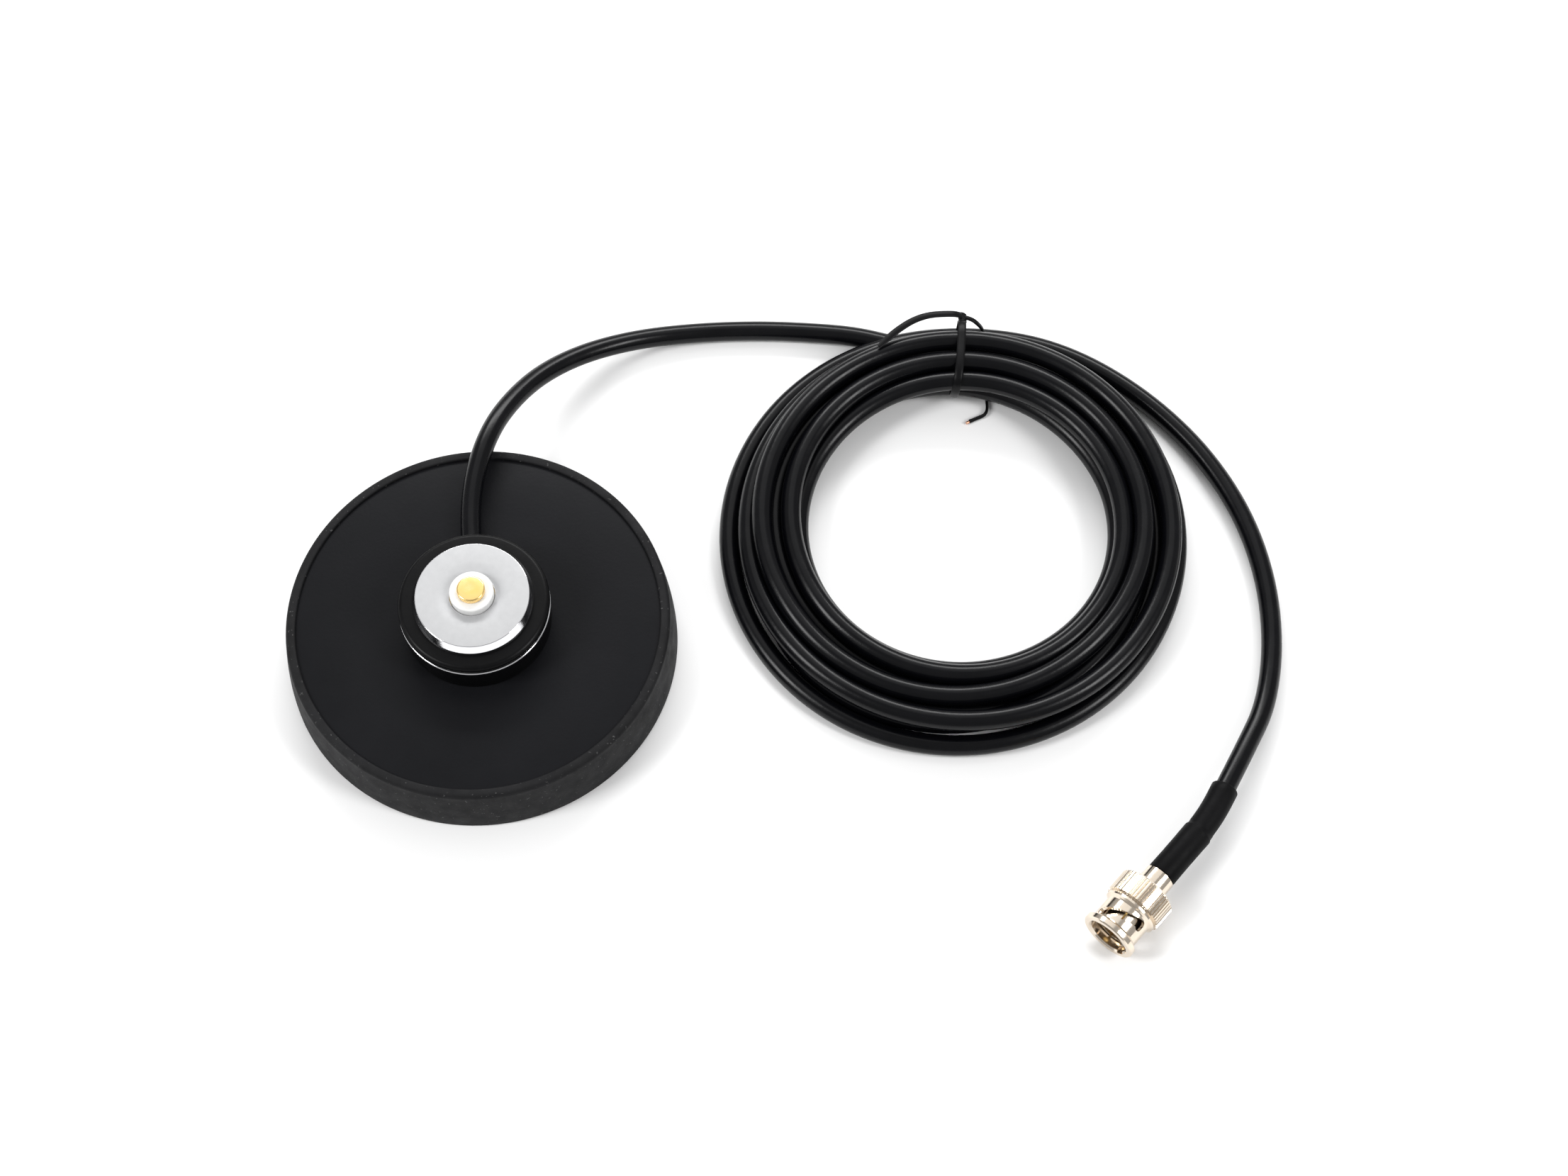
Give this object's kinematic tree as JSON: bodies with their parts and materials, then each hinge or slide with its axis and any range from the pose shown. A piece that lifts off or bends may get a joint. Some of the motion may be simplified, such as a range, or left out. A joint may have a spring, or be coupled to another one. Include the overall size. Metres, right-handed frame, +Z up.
{
  "type": "magnetic antenna mount",
  "caption": "Round magnetic antenna base with a rubber boot and a threaded socket, on a coiled coaxial lead that ends in a bayonet plug.",
  "frame": {"origin": "centre of the magnet base on the surface it stands on", "axes": "+Z up out of the antenna socket, +X towards the side on which the coiled lead lies, +Y towards the side where the lead leaves the hub"},
  "size_m": [0.2417, 0.1713, 0.0317],
  "materials": {
    "boot_rubber": "matte",
    "black_steel": "satin",
    "ferrite": "matte",
    "pad_rubber": "matte",
    "black_plastic": "satin",
    "screw_steel": "satin",
    "chrome": "satin",
    "gasket_rubber": "satin",
    "brass": "satin",
    "white_insulator": "satin",
    "gold_contact": "polished",
    "copper_braid": "satin",
    "copper_wire": "satin",
    "cable_jacket": "satin",
    "tie_plastic": "satin",
    "shrink_sleeve": "matte",
    "nickel": "polished",
    "red_gasket": "satin",
    "spring_steel": "satin"
  },
  "bodies": {
    "mount": {"rubber_boot": "boot_rubber", "steel_cup": "black_steel", "ring_magnet": "ferrite", "base_pad": "pad_rubber", "hub_collar": "black_plastic", "collar_screws": "screw_steel", "mount_flange": "chrome", "hub_gasket": "gasket_rubber", "socket_ring": "chrome", "socket_body": "brass", "socket_insulator": "white_insulator", "centre_contact": "gold_contact", "cable_grommet": "gasket_rubber", "hub_braid": "copper_braid", "hub_dielectric": "white_insulator", "hub_conductor": "copper_wire", "cable_lead": "cable_jacket", "cable_coil": "cable_jacket", "cable_tail": "cable_jacket", "twist_tie": "tie_plastic", "heat_shrink": "shrink_sleeve", "crimp_ferrule": "nickel", "plug_braid": "copper_braid", "plug_dielectric": "white_insulator", "plug_conductor": "copper_wire", "plug_body": "nickel", "plug_insulator": "white_insulator", "plug_pin": "gold_contact", "plug_gasket": "red_gasket", "wave_washer": "spring_steel", "snap_ring": "spring_steel"},
    "washer": {"thrust_washer": "spring_steel"},
    "nut": {"coupling_nut": "nickel"}
  },
  "joints": [
    {"name": "nut_slide", "type": "slide", "parent": "mount", "child": "washer", "axis": [-0.6626, -0.749, 0], "range_m": [0, 0.0007], "stiffness_N_per_m": 4000, "springref_m": -0.0004, "deforming": ["wave_washer"]},
    {"name": "nut_turn", "type": "hinge", "parent": "washer", "child": "nut", "pos_m": [0.1597, -0.06175, 0.0071], "axis": [-0.6626, -0.749, 0], "continuous": true}
  ]
}
